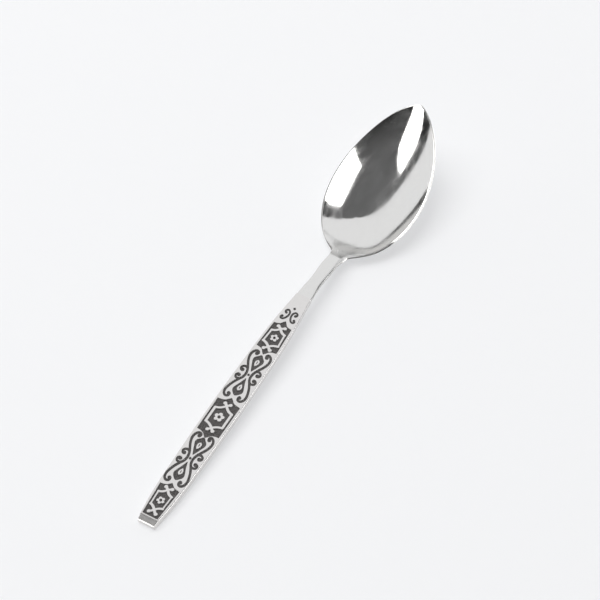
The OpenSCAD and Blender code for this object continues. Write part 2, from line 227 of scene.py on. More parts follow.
# Distances before the neck at which its lines still follow the handle, and how many rows of the floor follow
top_backs, side_backs, side_reach = (12, 8, 4, 0), (12, 9, 6, 3), 6
floor_rows = 6

neck_top = handle_top(neck_station)
heel_height = shell_height(floor_shares[0][1])
neck_line = smooth_curve(
    [(neck_station - back, handle_top(neck_station - back)) for back in top_backs]
    + [(neck_station + a * neck_length, neck_top + (heel_height - neck_top) * b)
       for a, b in neck_drop_shares]
    + [(heel_station + inner_length * a, shell_height(b)) for a, b in floor_shares[:floor_rows]])
neck_side = smooth_curve(
    [(neck_station - back, float(handle_half_width(neck_station - back))) for back in side_backs]
    + [(neck_station + a * neck_length, b * neck_width / 2) for a, b in neck_width_shares]
    + [(heel_station + neck_length, neck_width / 2)])
neck_depth = smooth_curve(
    [(neck_station, neck_top - handle_bottom(neck_station))]
    + [(neck_station + a * neck_length, b * neck_thickness) for a, b in neck_thickness_shares]
    + [(heel_station, heel_thickness)])


def bar_half_width(s):
    """Half of the handle's width, following the neck's curve where the two meet."""
    return np.where(s > neck_station - side_reach, neck_side(s), handle_half_width(s))


print("neck drops", round(float(neck_line(neck_station) - neck_line(heel_station)), 2), "mm to the heel")

# %% [markdown]
# ## The bowl's outline and section
# From above, the bowl is an egg with a pointed tip, which a product of two powers draws without any points.
# The neck's sides fade into it at the heel. Across the bowl, the height follows a parabola that turns
# steeper towards the rim, as a blank does when it is pressed into a die.

# %% Outline and cross-section
egg_start_share, egg_peak_share, egg_heel_power, egg_tip_power = 0.025, 0.44, 0.58, 0.66


def side_at(s, inset=0.0):
    """Half of the width between the rim's inner edges, or of the neck, drawn in by inset at the bowl."""
    start = heel_station + egg_start_share * inner_length
    u = np.clip((s - start) / (inner_tip - inset - start), 0, 1)
    egg = ((bowl_width / 2 - rim_land - inset) * (u / egg_peak_share) ** egg_heel_power
           * ((1 - u) / (1 - egg_peak_share)) ** egg_tip_power)
    bar = neck_side(s) * (1 - ease(s, heel_station, heel_station + neck_length))
    return (bar ** 4 + egg ** 4) ** 0.25


def wall_height(s, q):
    """Height between the floor and the rim, q running from 0 to 1 across half of the bowl."""
    share = (s - heel_station) / inner_length
    low, high = shell_height(floor_line(share)), shell_height(rim_line(share))
    steep = steepening_line(share)
    return low + (high - low) * ((1 - steep) * q ** 2 + steep * q ** 4)


widest = heel_station + egg_peak_share * inner_length
print("bowl is widest near station", round(widest, 1), "with", round(2 * float(side_at(widest)), 1),
      "mm inside its rim")

# %% [markdown]
# ## One smooth surface
# The die that presses the bowl is ground smooth, so its surface is one gentle shape with no steps. Heights
# that follow rows of shares would show in a mirror as ripples, one for each row. So one polynomial is fitted
# through them, which irons the ripples out, and its slopes then give exact normals for the reflections.

# %% Polynomial of the bowl
ALONG_POWERS, ACROSS_POWERS = 10, 4
FIT_START, FIT_END, FIT_STATIONS, FIT_PLACES = 2.5, 0.15, 70, 21


def terms(s, v):
    """Powers of the place along and across the bowl, even across because the two sides are alike."""
    along = (s - heel_station - inner_length / 2) / (inner_length / 2)
    across = (v / (bowl_width / 2)) ** 2
    return np.stack([along ** i * across ** j
                     for j in range(ACROSS_POWERS) for i in range(ALONG_POWERS - 2 * j)], -1)


fit_s, fit_q = np.meshgrid(np.linspace(heel_station + FIT_START, inner_tip - FIT_END, FIT_STATIONS),
                           np.linspace(0, 1, FIT_PLACES))
fit_z = wall_height(fit_s, fit_q)
fit_terms = terms(fit_s, fit_q * side_at(fit_s))
bowl_fit = np.linalg.lstsq(fit_terms.reshape(-1, fit_terms.shape[-1]), fit_z.ravel(), rcond=None)[0]
print("the smooth bowl stays within", round(float(np.abs(fit_terms @ bowl_fit - fit_z).max()), 3), "mm")

# %% [markdown]
# ## From neck to bowl
# At the heel the flat top of the neck runs down into the hollow of the bowl. Two separate surfaces with a
# joining strip would leave lines in the reflection. Instead both heights are known everywhere near the heel,
# and one fades into the other over a few millimetres.

# %% Top surface and normals
heel_fade = (heel_station, heel_station + 6.0)
NORMAL_REACH = 0.02


def top_height(s, v):
    fade = ease(s, *heel_fade)
    return neck_line(s) * (1 - fade) + (terms(s, v) @ bowl_fit) * fade


def top_normal(s, v):
    """The surface's own direction, from its slopes over a very short reach."""
    along = (top_height(s + NORMAL_REACH, v) - top_height(s - NORMAL_REACH, v)) / (2 * NORMAL_REACH)
    across = (top_height(s, v + NORMAL_REACH) - top_height(s, v - NORMAL_REACH)) / (2 * NORMAL_REACH)
    normal = np.stack([-along, -across, np.ones_like(along)], -1)
    return normal / np.linalg.norm(normal, axis=-1, keepdims=True)


tip_normal = top_normal(np.array(inner_tip), np.array(0.0))
print("slope of the wall at the bowl's tip:", round(math.degrees(math.acos(float(tip_normal[2])))), "degrees")

# %% [markdown]
# ## How thick the steel is
# Rolling thins the blank from the neck to the bowl, and most at the rim. One thickness all over would be
# simpler, but the rim would look as heavy as the neck from the side.

# %% Thickness
thinning_share, rim_thinning_share, tip_thinning_share = 0.22, 0.4, 0.5
thinning_length = thinning_share * inner_length


def thickness(s, q):
    """Steel from the neck's thickness to the bowl's floor and rim, thinning sooner at the rim."""
    at_heel = 1 - ease(s, heel_station, heel_station + thinning_length)
    at_tip = ease(s, heel_station + tip_thinning_share * inner_length, inner_tip)
    middle = (bowl_floor_thickness + (heel_thickness - bowl_floor_thickness) * at_heel
              + (bowl_wall - bowl_floor_thickness) * at_tip)
    at_rim = ease(s, heel_station, heel_station + rim_thinning_share * thinning_length)
    edge = heel_thickness + (bowl_wall - heel_thickness) * at_rim
    return np.where(s <= heel_station, neck_depth(s), middle + (edge - middle) * q * q)


print("steel at the bowl's widest place, middle and rim:",
      [round(float(thickness(widest, q)), 2) for q in (0, 1)], "mm")

# %% [markdown]
# ## Faces and normals
# Every steel piece is a closed skin: a top, an under side, and a rounded edge that runs round between them.
# Blender's modifiers could thicken a single sheet, but they can't change the thickness and the roundness of
# the edge along the way. So the points are laid out as grids and joined with quads.

# %% Grids to faces
def grid_faces(rows):
    """Quads between the points of a two-dimensional array of point numbers."""
    a, b, c, d = rows[:-1, :-1], rows[:-1, 1:], rows[1:, 1:], rows[1:, :-1]
    return np.stack([a, d, c, b], -1).reshape(-1, 4)


def point_normals(points, quads):
    """Normals at the points, from the faces round each."""
    corner = points[quads]
    face = np.cross(corner[:, 2] - corner[:, 0], corner[:, 3] - corner[:, 1])
    total = np.zeros_like(points)
    for k in range(4):
        np.add.at(total, quads[:, k], face)
    return total / np.maximum(np.linalg.norm(total, axis=1, keepdims=True), 1e-12)


print("a grid of 3 by 3 points has", len(grid_faces(np.arange(9).reshape(3, 3))), "quads")

# %% [markdown]
# ## A mesh with its own normals
# Blender can work out smooth normals from the faces, but the bowl's formula knows them better. The mesh gets
# them as custom normals, and only its flat end caps keep the normals of their faces.

# %% Mesh piece
def make_piece(name, points, quads, caps=(), normals=None):
    """A mesh object from points in millimetres at their stations, quads, and flat end caps."""
    used = np.unique(quads)
    number = np.full(len(points), -1)
    number[used] = np.arange(len(used))
    placed = (points[used] - [half_length, 0, 0]) * MM
    faces = [list(dict.fromkeys(quad)) for quad in number[quads].tolist()]
    cap_start = len(faces)
    faces += [number[np.array(cap)].tolist() for cap in caps]
    mesh = bpy.data.meshes.new(name)
    mesh.from_pydata(placed.tolist(), [], faces)
    mesh.polygons.foreach_set("use_smooth", [i < cap_start for i in range(len(faces))])
    if normals is not None:
        loop_points = np.zeros(len(mesh.loops), np.int32)
        mesh.loops.foreach_get("vertex_index", loop_points)
        loop_normals = normals[used][loop_points]
        for cap in mesh.polygons[cap_start:]:
            loop_normals[list(cap.loop_indices)] = cap.normal
        mesh.normals_split_custom_set(loop_normals.tolist())
    piece = bpy.data.objects.new(name, mesh)
    bpy.context.scene.collection.objects.link(piece)
    print(name, len(mesh.vertices), "points,", len(mesh.polygons), "faces")
    return piece


# %% [markdown]
# ## Rounded edges
# A stamped edge is rounded by tumbling and buffing. A bevel modifier gives one radius everywhere. A
# superellipse between the top's border and the under side's can be squarer on the handle and rounder on
# the rim, and changes from one to the other without a step.

# %% Edge between two borders
def edge_round(high, low, outward, bulge, squareness, steps):
    """Points of a rounded edge from the top's border to the under side's, both borders left out."""
    angle = np.linspace(math.pi / 2, -math.pi / 2, steps + 1)[1:-1]
    rise = np.sign(np.sin(angle)) * np.abs(np.sin(angle)) ** (2 / squareness[:, None])
    out = np.cos(angle) ** (2 / squareness[:, None])
    middle, reach = (high + low) / 2, (high - low) / 2
    return (middle[:, None] + reach[:, None] * rise[..., None]
            + outward[:, None] * out[..., None] * bulge[:, None, None])


test_edge = edge_round(*np.array([[[0.0, 0, 1]], [[0, 0, -1]], [[0, 1, 0]]]), np.ones(1), np.full(1, 2.0), 4)
print("a round edge between borders 2 mm apart reaches", round(float(test_edge[..., 1].max()), 2), "mm out")

# %% [markdown]
# ## Bowl and neck
# On the bench the neck can't be told from the bowl: one polished surface runs through both. They are laid
# out as one grid here and cut into the construction's two pieces at the heel, so that both pieces share the
# same normals along the cut and no seam shows. Stations crowd towards the tip, where the outline turns fast.

# %% Stations along neck and bowl
NECK_ROWS, BOWL_ROWS, TIP_CROWDING = 40, 150, 0.7
handle_bulge, neck_bulge, rim_bulge = 0.28, 0.4, 0.36
handle_squareness, neck_squareness, rim_squareness = 5.0, 3.6, 2.3
# How far the top's border keeps inside the rim's inner edge
rim_inset = 0.2
skin_length = inner_tip - rim_inset - heel_station
join_fade = (neck_station, neck_station + 8)
bowl_fade = (heel_station - 1, heel_station + 5)

turns = np.linspace(0, 1, BOWL_ROWS + 1)
bowl_places = (1 - TIP_CROWDING) * turns + TIP_CROWDING * np.sin(turns * math.pi / 2)
stations = np.concatenate([neck_station + neck_length * np.arange(NECK_ROWS) / NECK_ROWS,
                           heel_station + skin_length * bowl_places])
rows = len(stations)
past_join = ease(stations, *join_fade)
in_bowl = ease(stations, *bowl_fade)
bar_bulge = handle_bulge + (neck_bulge - handle_bulge) * past_join
plain_half = side_at(stations, rim_inset) - bar_bulge * (1 - in_bowl)
row_bulge = bar_bulge + (rim_bulge - bar_bulge) * in_bowl
row_squareness = (handle_squareness + (neck_squareness - handle_squareness) * past_join
                  + (rim_squareness - neck_squareness) * in_bowl)
print(rows, "rows from", round(stations[0], 2), "to", round(stations[-1], 2))

# %% [markdown]
# ## Inside and outside of the shell
# The under side is the top moved by the steel's thickness: within the cross-section at the neck, which keeps
# the joins flat, and along the surface's own normal in the bowl. Near the rim the back is ground away a
# little, which leaves the thin bright lip that a polished spoon has.

# %% Top and under side
COLUMNS, SIDE_CROWDING = 49, 0.5
RIM_GRIND, RIM_GRIND_POWER = 0.45, 12
across = np.linspace(-1, 1, COLUMNS)
across = (1 - SIDE_CROWDING) * across + SIDE_CROWDING * np.sin(across * math.pi / 2)
grid_s = np.repeat(stations[:, None], COLUMNS, 1)
grid_v = across[None, :] * plain_half[:, None]
grid_q = np.repeat(across[None, :], rows, 0)
top = np.stack([grid_s, grid_v, top_height(grid_s, grid_v)], -1)
normal = top_normal(grid_s, grid_v)

lean = ease(stations, heel_station + thinning_length, widest)[:, None, None]
in_section = normal * [0, 1, 1]
in_section = in_section / (in_section ** 2).sum(-1, keepdims=True)
steel_depth = thickness(grid_s, grid_q) - RIM_GRIND * in_bowl[:, None] * grid_q ** RIM_GRIND_POWER
under = top - steel_depth[..., None] * (in_section * (1 - lean) + normal * lean)
under[..., 2] = np.maximum(under[..., 2], 0)
print("steel from", round(float(steel_depth.min()), 2), "to", round(float(steel_depth.max()), 2), "mm thick")

# %% [markdown]
# ## The rim
# The edge runs up one side, round the tip and back down the other side without a break, as the buffing wheel
# does. It bulges outwards at a right angle to the surface's normal and to its own direction.

# %% Rim and edges of neck and bowl
EDGE_STEPS = 12


def round_the_tip(side_by_side):
    """Values along one border and back along the other, the tip counted once."""
    return np.concatenate([side_by_side[:, -1], side_by_side[-2::-1, 0]])


rim_high, rim_low = round_the_tip(top), round_the_tip(under)
outward = np.cross(np.gradient(rim_high, axis=0), round_the_tip(normal))
outward = outward / np.linalg.norm(outward, axis=1, keepdims=True)
edge = edge_round(rim_high, rim_low, outward, round_the_tip(row_bulge[:, None]),
                  round_the_tip(row_squareness[:, None]), EDGE_STEPS)
print("rim: widest", round(float(edge[..., 1].max()), 2), "highest", round(float(edge[..., 2].max()), 2),
      "furthest", round(float(edge[..., 0].max()), 2))

# %% [markdown]
# ## Numbering the points
# Top, under side and edge share their border points, so that the skin is closed. The edge's own points are
# numbered after the others, and at the tip, where the columns run together, one point serves for all.

# %% Point numbers
top_numbers = np.arange(rows * COLUMNS).reshape(rows, COLUMNS)
under_numbers = top_numbers + rows * COLUMNS
edge_numbers = np.arange(edge.shape[0] * edge.shape[1]).reshape(edge.shape[:2]) + 2 * rows * COLUMNS
top_numbers[-1] = top_numbers[-1, 0]
under_numbers[-1] = under_numbers[-1, 0]
edge_grid = np.concatenate([round_the_tip(top_numbers)[:, None], edge_numbers,
                            round_the_tip(under_numbers)[:, None]], 1)
steel_points = np.concatenate([top.reshape(-1, 3), under.reshape(-1, 3), edge.reshape(-1, 3)])
print(len(steel_points), "points for neck and bowl")

# %% [markdown]
# ## Cutting the skin in two
# The grid is cut at the heel. Each piece is closed there with a flat cap, as if the spoon had been sawn
# through, because an open shell would show its inside as soon as one piece is hidden.

# %% Skins of neck and bowl
def section(row):
    """The closed ring of point numbers round the steel at one row."""
    left, right = edge_grid[row], edge_grid[len(edge) - 1 - row]
    return np.concatenate([top_numbers[row], left[1:-1], under_numbers[row][::-1], right[1:-1][::-1]])


def steel_between(first, last):
    """Quads of the skin between two rows of the grid."""
    rims = [edge_grid[first:last + 1], edge_grid[len(edge) - 1 - last:len(edge) - first]]
    if last == rows - 1:
        rims = [edge_grid[first:len(edge) - first]]
    return np.concatenate([grid_faces(top_numbers[first:last + 1])]
                          + [grid_faces(under_numbers[first:last + 1])[:, ::-1]]
                          + [grid_faces(r) for r in rims])


steel_normals = point_normals(steel_points, steel_between(0, rows - 1))
steel_normals[:rows * COLUMNS] = normal.reshape(-1, 3)
neck_bar = make_piece("neck_bar", steel_points, steel_between(0, NECK_ROWS),
                      [section(0), section(NECK_ROWS)[::-1]], steel_normals)
bowl_shell = make_piece("bowl_shell", steel_points, steel_between(NECK_ROWS, rows - 1),
                        [section(NECK_ROWS)], steel_normals)

# %% [markdown]
# ## The ornament's lines
# A die maker cuts the ornament as flowing lines. They could be Bezier curves with handles to place. A
# smooth line that runs through its own points needs no handles, so each motif is a short list of points.

# %% Smooth lines
LINE_STEPS = 4


def joined(points):
    """A smooth line through points, with LINE_STEPS pieces between each two."""
    points = np.array(points, float)
    padded = np.concatenate([points[:1], points, points[-1:]])
    t = np.arange(LINE_STEPS)[:, None, None] / LINE_STEPS
    a, b, c, d = padded[:-3], padded[1:-2], padded[2:-1], padded[3:]
    curve = (b + (c - a) / 2 * t + (a - 2.5 * b + 2 * c - d / 2) * t ** 2
             + ((d - a) / 2 + 1.5 * (b - c)) * t ** 3)
    return np.concatenate([curve.transpose(1, 0, 2).reshape(-1, 2), points[-1:]])


def mirrored(half):
    """A closed outline from its half on one side of the middle line."""
    half = np.array(half, float)
    return np.concatenate([half, (half * [1, -1])[::-1]])


print("three points become", len(joined([(0, 0), (1, 1), (2, 0)])))

# %% [markdown]
# ## The ornament as distances
# The die's ornament could be cut with boolean operations, but struck metal has no knife-sharp edges: it
# flows into the die and leaves rounded shoulders. If the distance to the nearest edge of the recess is known
# at every point, one formula can round all shoulders alike. So each motif is a small distance function,
# positive inside the recess, and motifs join by taking the greater or the lesser distance.

# %% Distances to lines and outlines
FAR = 1e3


def to_line(points, u, v):
    """Distance to the nearest piece of a line."""
    best = np.full(np.shape(u), FAR)
    for (ax, ay), (bx, by) in zip(points[:-1], points[1:]):
        dx, dy = bx - ax, by - ay
        t = np.clip(((u - ax) * dx + (v - ay) * dy) / max(dx * dx + dy * dy, 1e-9), 0, 1)
        best = np.minimum(best, np.hypot(u - ax - t * dx, v - ay - t * dy))
    return best


def inside_outline(points, u, v):
    """Distance to a closed outline, positive inside it."""
    closed = np.concatenate([points, points[:1]])
    crossings = np.zeros(np.shape(u), int)
    for (ax, ay), (bx, by) in zip(closed[:-1], closed[1:]):
        if ay != by:
            crossings += ((ay > v) != (by > v)) & (u < ax + (v - ay) * (bx - ax) / (by - ay))
    return np.where(crossings % 2 == 1, 1, -1) * to_line(closed, u, v)


def to_dot(place, radius, u, v):
    """Distance into a round dot."""
    return radius - np.hypot(u - place[0], v - place[1])


print("a dot of 1 mm reaches", float(to_dot((0, 0), 1.0, 0.4, 0.0)), "mm past a point 0.4 mm off its middle")

# %% [markdown]
# ## Scroll motif
# Between two rosettes runs a pair of long S scrolls that meet at a dot, with two hooked curls on each side
# and a dark drop with a raised leaf at each end. The scrolls are grooves of even width whose ends swell
# into round curls, as a graver or a round-nosed punch leaves them.

# %% Scroll outlines, millimetres from the dot: along, across
s_scroll = joined([(7.35, 1.6), (7.8, 1.3), (8.3, 1.65), (8.1, 2.4), (7.1, 3.03), (5.7, 3.05), (4.25, 2.6),
                   (2.95, 1.93), (1.6, 1.25), (0.15, 0.9), (-1.3, 1.08), (-2.5, 1.75), (-4.0, 2.52),
                   (-5.5, 3.05), (-7.0, 3.38), (-8.25, 3.15), (-8.95, 2.4), (-8.75, 1.65), (-8.15, 1.5),
                   (-7.9, 1.85)])
hooks = [joined([(1.85, 1.45), (2.15, 2.1), (1.88, 2.82), (1.2, 3.12), (0.65, 2.8), (0.68, 2.35)]),
         joined([(-1.95, 1.4), (-2.4, 2.12), (-2.22, 2.95), (-1.5, 3.18), (-0.98, 2.75), (-1.1, 2.4)])]
curl_places = [(7.42, 1.62), (-7.95, 1.75), (0.78, 2.42), (-1.2, 2.45)]
near_drop = mirrored(joined([(1.38, 0.02), (2.8, 0.68), (4.1, 1.2), (5.0, 1.56), (5.85, 1.52), (6.35, 1.15),
                             (6.85, 0.6), (7.3, 0.3), (7.35, 0.02)]))
near_leaf = mirrored(joined([(3.25, 0.02), (3.75, 0.46), (4.5, 0.7), (5.3, 0.62), (5.85, 0.02)]))
near_slit = mirrored(joined([(4.35, 0.005), (4.7, 0.03), (5.05, 0.005)]))
far_drop = mirrored(joined([(-1.45, 0.02), (-3.3, 0.62), (-4.8, 1.25), (-5.75, 1.55), (-6.45, 1.42),
                            (-7.0, 0.98), (-7.5, 0.48), (-7.75, 0.02)]))
far_leaf = mirrored(joined([(-3.5, 0.02), (-4.2, 0.5), (-4.95, 0.72), (-5.6, 0.58), (-6.05, 0.02)]))
far_slit = mirrored(joined([(-4.55, 0.005), (-4.9, 0.03), (-5.2, 0.005)]))
drops = [(near_drop, near_leaf, near_slit), (far_drop, far_leaf, far_slit)]
print("the scroll motif runs from", s_scroll[:, 0].min(), "to", s_scroll[:, 0].max(), "mm")

# %% [markdown]
# ## The scroll's recess
# The grooves and curls are the same on both sides of the middle line, so one side is drawn and measured with
# the place across taken as positive. A leaf stands up in its drop, and a fine slit is cut in the leaf.

# %% Scroll recess
LINE_WIDTH, HOOK_WIDTH, CURL_RADIUS, DOT_RADIUS = 0.6, 0.54, 0.5, 0.3


def scroll_recess(u, v, stretch):
    """Distance into the scroll motif's recesses, stretch being its length over the motif's own."""
    u, side = u / stretch, np.abs(v)
    recess = np.maximum.reduce([LINE_WIDTH / 2 - to_line(s_scroll, u, side)]
                               + [HOOK_WIDTH / 2 - to_line(hook, u, side) for hook in hooks]
                               + [to_dot(place, CURL_RADIUS, u, side) for place in curl_places])
    for drop, leaf, slit in drops:
        raised = np.minimum(inside_outline(leaf, u, v), -inside_outline(slit, u, v))
        recess = np.maximum(recess, np.minimum(inside_outline(drop, u, v), -raised))
    return np.maximum(recess, to_dot((0, 0), DOT_RADIUS, u, v))


print("the dot's middle lies", float(scroll_recess(np.zeros(1), np.zeros(1), 1.0)[0]), "mm inside the recess")

# %% [markdown]
# ## Rosette panel motif
# Each rosette stands on a dark sunk field. Round it runs a six-sided frame: a broad band along each side and
# ribbons that bend inwards at both ends, cross, and end in round lobes. The rosette has five petals round a
# hole. The three panels differ in size, so their measures are rows of a table. For each end of the field it
# gives the place, how far the point runs on, and half of the width. Each of the ends lists a corner of the
# band, the place where the ribbons cross, and a lobe.

# %% Panel measures, millimetres from the rosette
panels = {
    "end": dict(low=-5.6, low_peak=0.0, low_side=2.35, high=4.7, high_peak=1.4, high_side=3.02, rosette=1.28,
                turned=180, band_half=0.33, ends=[((-2.2, 1.94), -3.5, (-4.5, 1.12)),
                                                  ((2.24, 2.14), 3.75, (4.45, 1.0))]),
    "middle": dict(low=-5.95, low_peak=1.8, low_side=3.45, high=5.28, high_peak=1.72, high_side=3.57,
                   rosette=1.58, turned=0, band_half=0.47, ends=[((-2.8, 2.7), -4.15, (-4.95, 0.84)),
                                                                 ((2.4, 2.7), 4.15, (4.85, 0.88))]),
    "upper": dict(low=-4.4, low_peak=1.95, low_side=3.2, high=4.6, high_peak=1.75, high_side=2.8, rosette=1.3,
                  turned=0, band_half=0.36, ends=[((-2.17, 2.47), -3.45, (-4.35, 1.03)),
                                                  ((2.1, 2.13), 3.5, (4.15, 1.08))]),
}
print("fields, mm long:", [round(p["high"] + p["high_peak"] - p["low"] + p["low_peak"], 1)
                           for p in panels.values()])

# %% [markdown]
# ## The sunk field
# The field's sides follow the handle. At each end that meets scrolls, two arcs run to a point, because their
# curls leave just that room.

# %% Field of a panel
MIDDLE_GAP = 0.02
point_shares = [(1, 0), (0.72, 0.16), (0.28, 0.38), (0.06, 0.7), (0, 1)]


def panel_field(p, u, v):
    """Distance into the sunk field of one panel."""
    half = []
    for way, place, peak, side in ((-1, p["low"], p["low_peak"], p["low_side"]),
                                   (1, p["high"], p["high_peak"], p["high_side"])):
        tip = [(place + way * a * peak, max(b * side, MIDDLE_GAP)) for a, b in point_shares]
        half += [tuple(q) for q in joined(tip)][::-way]
    return inside_outline(mirrored(half[::-1]), u, v)


print("the rosettes lie inside their fields by",
      [round(float(panel_field(p, np.zeros(1), np.zeros(1))[0]), 2) for p in panels.values()], "mm")

# %% [markdown]
# ## Frame and rosette
# What the die leaves standing is the frame and the flower. The ribbons cross on the middle line, so each is
# drawn once and mirrored. The petals are dots on a circle round a larger dot, with a small hole in it.

# %% Frame and rosette of a panel
RIBBON_HALF, LOBE_RADIUS, PETALS = 0.46, 0.63, 5
ribbon_shares = [(0, 1), (0.08, 0.78), (0.3, 0.47), (0.66, 0.19), (1, 0)]
past_cross_shares = (0.62, 0.55)
petal_place_share, petal_size_share, flower_share, hole_share = 0.6, 0.43, 0.66, 0.26


def ribbon_path(corner, cross, lobe):
    """The middle of a ribbon from the band's corner over the crossing to the far side's lobe."""
    along, over = past_cross_shares
    path = [(corner[0] + (cross - corner[0]) * a, corner[1] * b) for a, b in ribbon_shares]
    return joined(path + [(cross + along * (lobe[0] - cross), -over * lobe[1]), (lobe[0], -lobe[1])])


def panel_raised(p, u, v):
    """Distance into the frame, the lobes and the rosette that stand in the field."""
    corners = [corner for corner, cross, lobe in p["ends"]]
    raised = p["band_half"] - to_line(corners, u, np.abs(v))
    for corner, cross, lobe in p["ends"]:
        path = ribbon_path(corner, cross, lobe)
        for mirror in (-1, 1):
            raised = np.maximum(raised, RIBBON_HALF - to_line(path, u, v * mirror))
            raised = np.maximum(raised, to_dot((lobe[0], mirror * lobe[1]), LOBE_RADIUS, u, v))
    size = p["rosette"]
    flower = to_dot((0, 0), flower_share * size, u, v)
    for k in range(PETALS):
        angle = math.radians(p["turned"] + 360 * k / PETALS)
        petal = (petal_place_share * size * math.cos(angle), petal_place_share * size * math.sin(angle))
        flower = np.maximum(flower, to_dot(petal, petal_size_share * size, u, v))
    return np.maximum(raised, np.minimum(flower, -to_dot((0, 0), hole_share * size, u, v)))


def panel_recess(p, u, v):
    return np.minimum(panel_field(p, u, v), -panel_raised(p, u, v))


print("holes, mm wide:", [round(2 * hole_share * p["rosette"], 2) for p in panels.values()])

# %% [markdown]
# ## Top scrolls and the whole ornament
# Two small C scrolls and a dot end the ornament below the neck. A dictionary then gives each dark layer of
# the construction its motif and its place, so the steel and the dark layer are cut from the same distances.

# %% Top scrolls and the list of motifs
C_LINE_HALF, C_CURL_RADIUS, TOP_DOT_RADIUS = 0.22, 0.34, 0.32
c_scroll = joined([(0.9, 1.5), (1.25, 1.88), (1.82, 1.7), (2.0, 1.08), (1.45, 0.55), (0.55, 0.43),
                   (-0.45, 0.68), (-1.25, 1.25), (-1.42, 1.9), (-1.0, 2.25), (-0.55, 2.0)])
c_curls = [(0.95, 1.5), (-0.62, 1.95)]
top_dot = (3.1, 0)


def top_recess(u, v):
    """Distance into the two C scrolls and the last dot."""
    side = np.abs(v)
    return np.maximum.reduce([C_LINE_HALF - to_line(c_scroll, u, side)]
                             + [to_dot(place, C_CURL_RADIUS, u, side) for place in c_curls]
                             + [to_dot(top_dot, TOP_DOT_RADIUS, u, v)])


# For each dark layer: the station of the motif's middle, how far it reaches each way, and its recess
motifs = {
    "end_panel_black": (7.9, (-5.9, 6.6), lambda u, v: panel_recess(panels["end"], u, v)),
    "lower_scroll_black": (23.4, (-9.6, 8.9), lambda u, v: scroll_recess(u, v, 1.02)),
    "middle_panel_black": (38.9, (-8.2, 7.5), lambda u, v: panel_recess(panels["middle"], u, v)),
    "upper_scroll_black": (55.0, (-9.4, 8.7), lambda u, v: scroll_recess(u, v, 1.0)),
    "upper_panel_black": (69.4, (-6.6, 6.6), lambda u, v: panel_recess(panels["upper"], u, v)),
    "top_scroll_black": (77.7, (-2.1, 3.8), top_recess),
}
print(len(motifs), "motifs")

# %% [markdown]
# ## The handle's stations
# The handle is a flat bar whose end is rolled down over the last two millimetres. Its rows of points are
# close enough for the finest groove, closer than that in the rolled end, and a few more form the end's
# rounded front face.

# %% Rows of the handle
HANDLE_ROWS, HANDLE_COLUMNS, TURN_ROWS = 960, 97, 24
first_turn_share, turn_start_share, turn_drop_share, turn_power = 0.07, 0.92, 0.72, 1.08
end_face = [(0.5, 0.04), (0.28, 0.18), (0.12, 0.4), (0.03, 0.7), (0.0, 1.05), (0.0, 1.4), (0.01, 1.62),
            (0.05, 1.74)]
end_rows = len(end_face)
turn_places = 1 - np.linspace(1 - first_turn_share, 0, TURN_ROWS, endpoint=False)
handle_s = np.concatenate([[s for s, z in end_face], end_turn_length * turn_places,
                           np.linspace(end_turn_length, neck_station, HANDLE_ROWS)])
turn_share = np.clip(1 - handle_s / (turn_start_share * end_turn_length), 0, 1)
turn_drop = turn_drop_share * end_turn_drop * turn_share ** turn_power
turn_drop[:end_rows] = [float(handle_top(s)) - z for s, z in end_face]

flat_half = bar_half_width(handle_s) - handle_bulge
hs = np.repeat(handle_s[:, None], HANDLE_COLUMNS, 1)
hv = np.linspace(-1, 1, HANDLE_COLUMNS)[None, :] * flat_half[:, None]
print(len(handle_s), "rows, the end turned down by", round(float(turn_drop[end_rows]), 2), "mm")

# %% [markdown]
# ## Striking the relief
# A displacement modifier with a painted texture would do for a picture, but its height steps would show as
# stairs. Here each point of the fine grid takes its height from the distance to the nearest recess edge: the
# steel drops through a rounded shoulder and a steep wall to the floor.

# %% Relief of the handle
RECESS_DEPTH, SHOULDER_DROP, SHOULDER_WIDTH, WALL_WIDTH = 0.19, 0.07, 0.24, 0.15
ORNAMENT_START = 1
recess_distance = {}
for node, (station, (low, high), recess) in motifs.items():
    place = hs / math.cos(handle_rise) - station
    chosen = (place[:, 0] > low) & (place[:, 0] < high) & (handle_s > ORNAMENT_START)
    recess_distance[node] = np.full(hs.shape, -FAR)
    recess_distance[node][chosen] = recess(place[chosen], hv[chosen])

deepest = np.maximum.reduce(list(recess_distance.values()))
shoulder = 1 - np.clip(-deepest / SHOULDER_WIDTH, 0, 1)
relief = (-SHOULDER_DROP * (1 - np.sqrt(1 - shoulder ** 2))
          - RECESS_DEPTH * ease(deepest, -WALL_WIDTH / 3, WALL_WIDTH))
steel_z = handle_top(hs) - turn_drop[:, None] + relief
print("relief from", round(float(relief.min()), 3), "to", round(float(relief.max()), 3), "mm")

# %% [markdown]
# ## The handle's sides and back
# The back is plain and flat, so five columns of points are enough for it. The sides get the same rounded
# edge as the neck, squarer here, and lean with the outline, so that the reflection runs on without a break.

# %% Under side and edges of the handle
UNDER_COLUMNS = 5
h_rows = len(handle_s)
under_v = np.linspace(-1, 1, UNDER_COLUMNS)[None, :] * flat_half[:, None]
under_s = np.repeat(np.maximum(handle_s, end_face[0][0])[:, None], UNDER_COLUMNS, 1)
under_z = np.repeat(handle_bottom(handle_s)[:, None], UNDER_COLUMNS, 1)
handle_grid = np.stack([hs, hv, steel_z], -1)
handle_under = np.stack([under_s, under_v, under_z], -1)

flare = np.zeros(h_rows)
flare[end_rows:] = np.gradient(bar_half_width(handle_s[end_rows - 1:]), handle_s[end_rows - 1:])[1:]


def handle_edge(side, column):
    """The rounded edge on one side of the handle, side being 1 or -1."""
    out = np.stack([-flare, side * np.ones(h_rows), np.zeros(h_rows)], -1)
    out /= np.linalg.norm(out, axis=1, keepdims=True)
    return edge_round(handle_grid[:, column], handle_under[:, column], out, np.full(h_rows, handle_bulge),
                      np.full(h_rows, handle_squareness), EDGE_STEPS)


